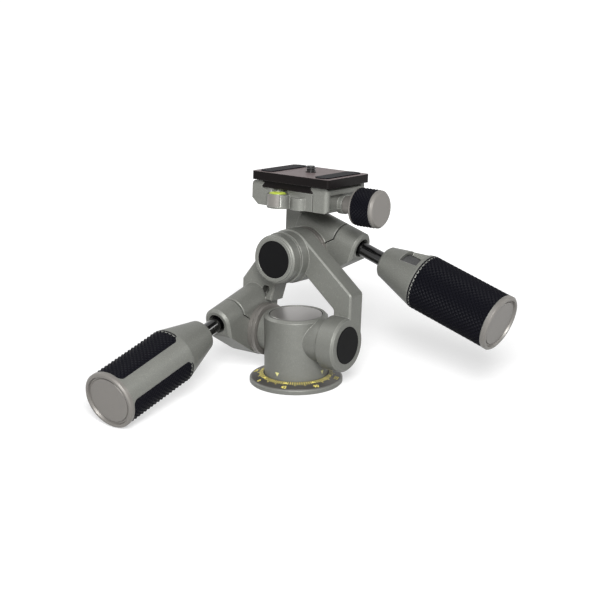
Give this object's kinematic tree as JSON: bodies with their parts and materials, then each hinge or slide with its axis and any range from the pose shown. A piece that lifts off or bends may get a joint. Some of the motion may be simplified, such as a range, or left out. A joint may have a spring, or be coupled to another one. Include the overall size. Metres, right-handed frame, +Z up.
{
  "type": "three way pan tilt head",
  "caption": "Tripod head that pans, tilts and rolls, with two screw-locking telescoping handles, a plate clamp with a knob and a quick release camera plate.",
  "frame": {"origin": "centre of the tripod socket's mouth on the base disc's underside, on the pan axis", "axes": "+Z up along the pan axis, +X along the tilt axle towards the plate knob, -Y the way the tilt handle points"},
  "size_m": [0.1887, 0.1921, 0.139],
  "materials": {
    "casting": "satin",
    "steel": "satin",
    "bearing_plastic": "satin",
    "turned_aluminium": "satin",
    "black_plastic": "semi gloss",
    "gloss_rod": "polished",
    "black_rubber": "matte",
    "plate_black": "satin",
    "vial_green": "gloss"
  },
  "bodies": {
    "root": {"base_disc": "casting", "pan_hub": "steel", "tripod_socket_insert": "steel", "pan_glide_washer": "bearing_plastic", "pan_retaining_nut": "steel"},
    "pan": {"pan_housing": "casting", "pan_top_cap": "turned_aluminium", "tilt_axle": "steel", "tilt_flange_ring": "turned_aluminium"},
    "pan_lock_carrier": {"pan_lock_shoe": "bearing_plastic"},
    "pan_lock": {"pan_lock_knob": "black_plastic", "pan_lock_stud": "steel"},
    "yoke": {"yoke_frame": "casting", "tilt_right_bush": "bearing_plastic", "tilt_left_bush": "bearing_plastic", "tilt_right_cap": "black_plastic", "tilt_left_cap": "black_plastic", "tilt_washer": "turned_aluminium", "roll_axle": "steel", "roll_axle_nut": "steel", "roll_bezel": "turned_aluminium", "roll_front_cap": "black_plastic", "roll_flange_ring": "turned_aluminium"},
    "tilt_jaw": {"tilt_clamp_jaw": "casting", "tilt_brake_shoe": "bearing_plastic"},
    "tilt_handle": {"tilt_handle_rod": "gloss_rod"},
    "tilt_grip": {"tilt_grip_core": "casting", "tilt_grip_panels": "black_rubber", "tilt_grip_end_cap": "turned_aluminium", "tilt_grip_bush": "bearing_plastic"},
    "tilt_ring": {"tilt_grip_lock_ring": "black_plastic"},
    "platform": {"platform_body": "casting", "roll_bush": "bearing_plastic", "roll_rear_cap": "black_plastic", "roll_washer": "turned_aluminium", "level_holder": "black_plastic", "level_vial": "vial_green", "jaw_guide_pins": "steel", "plate_stop_pin": "steel"},
    "roll_jaw": {"roll_clamp_jaw": "casting", "roll_brake_shoe": "bearing_plastic"},
    "roll_handle": {"roll_handle_rod": "gloss_rod"},
    "roll_grip": {"roll_grip_core": "casting", "roll_grip_panels": "black_rubber", "roll_grip_end_cap": "turned_aluminium", "roll_grip_bush": "bearing_plastic"},
    "roll_ring": {"roll_grip_lock_ring": "black_plastic"},
    "plate_jaw": {"plate_clamp_jaw": "casting"},
    "plate_knob": {"plate_clamp_screw": "steel", "plate_knob_core": "turned_aluminium", "plate_knob_band": "black_rubber"},
    "plate": {"release_plate": "plate_black", "plate_pads": "black_rubber"},
    "camera_screw": {"camera_screw": "steel"}
  },
  "joints": [
    {"name": "pan_turn", "type": "hinge", "parent": "root", "child": "pan", "pos_m": [0, 0, 0], "axis": [0, 0, 1], "continuous": true},
    {"name": "pan_lock_feed", "type": "slide", "parent": "pan", "child": "pan_lock_carrier", "axis": [0, 1, 0], "range_m": [-0.00025, 0.0005]},
    {"name": "pan_lock_turn", "type": "hinge", "parent": "pan_lock_carrier", "child": "pan_lock", "pos_m": [0, 0.0235, 0.012], "axis": [0, 1, 0], "range_deg": [-90.5, 180.5]},
    {"name": "tilt_turn", "type": "hinge", "parent": "pan", "child": "yoke", "pos_m": [0, 0, 0.0308], "axis": [1, 0, 0], "range_deg": [-86.5, 30]},
    {"name": "tilt_clamp_feed", "type": "slide", "parent": "yoke", "child": "tilt_jaw", "axis": [0, -0.9763, -0.2164], "range_m": [-0.00010417, 0.00052083]},
    {"name": "tilt_clamp_turn", "type": "hinge", "parent": "tilt_jaw", "child": "tilt_handle", "pos_m": [-0.036, -0.03303, 0.0412], "axis": [0, -0.9763, -0.2164], "range_deg": [-30.5, 150.5]},
    {"name": "tilt_grip_slide", "type": "slide", "parent": "tilt_handle", "child": "tilt_grip", "axis": [0, -0.9763, -0.2164], "range_m": [0, 0.035]},
    {"name": "tilt_ring_turn", "type": "hinge", "parent": "tilt_grip", "child": "tilt_ring", "pos_m": [-0.036, -0.06525, 0.03405], "axis": [0, -0.9763, -0.2164], "range_deg": [0, 180]},
    {"name": "roll_turn", "type": "hinge", "parent": "yoke", "child": "platform", "pos_m": [-0.0096, 0.00303, 0.08031], "axis": [0, 0.9981, -0.061], "range_deg": [-90, 30]},
    {"name": "roll_clamp_feed", "type": "slide", "parent": "platform", "child": "roll_jaw", "axis": [0.9537, -0.0184, -0.3001], "range_m": [-0.00010417, 0.00052083]},
    {"name": "roll_clamp_turn", "type": "hinge", "parent": "roll_jaw", "child": "roll_handle", "pos_m": [0.02421, 0.03393, 0.08591], "axis": [0.9537, -0.0184, -0.3001], "range_deg": [-30.5, 150.5]},
    {"name": "roll_grip_slide", "type": "slide", "parent": "roll_handle", "child": "roll_grip", "axis": [0.9537, -0.0184, -0.3001], "range_m": [-0.0035, 0.0315]},
    {"name": "roll_ring_turn", "type": "hinge", "parent": "roll_grip", "child": "roll_ring", "pos_m": [0.05569, 0.03332, 0.076], "axis": [0.9537, -0.0184, -0.3001], "range_deg": [0, 180]},
    {"name": "plate_jaw_feed", "type": "slide", "parent": "platform", "child": "plate_jaw", "axis": [1, 0, 0], "range_m": [0, 0.004]},
    {"name": "plate_knob_turn", "type": "hinge", "parent": "plate_jaw", "child": "plate_knob", "pos_m": [0.028, 0.01477, 0.11666], "axis": [1, 0, 0], "range_deg": [-0.5, 1440.5]},
    {"name": "plate_slide", "type": "slide", "parent": "platform", "child": "plate", "axis": [0, 0.9981, -0.061], "range_m": [-0.012, 0.012]},
    {"name": "camera_screw_turn", "type": "hinge", "parent": "plate", "child": "camera_screw", "pos_m": [0.0025, 0.01247, 0.13483], "axis": [0, 0.061, 0.9981], "continuous": true}
  ],
  "couplings": [
    {"joint": "pan_lock_turn", "follows": "pan_lock_feed", "rad_per_m": 6283.2},
    {"joint": "tilt_clamp_turn", "follows": "tilt_clamp_feed", "rad_per_m": 5026.5},
    {"joint": "roll_clamp_turn", "follows": "roll_clamp_feed", "rad_per_m": 5026.5},
    {"joint": "plate_knob_turn", "follows": "plate_jaw_feed", "rad_per_m": 6283.2}
  ]
}
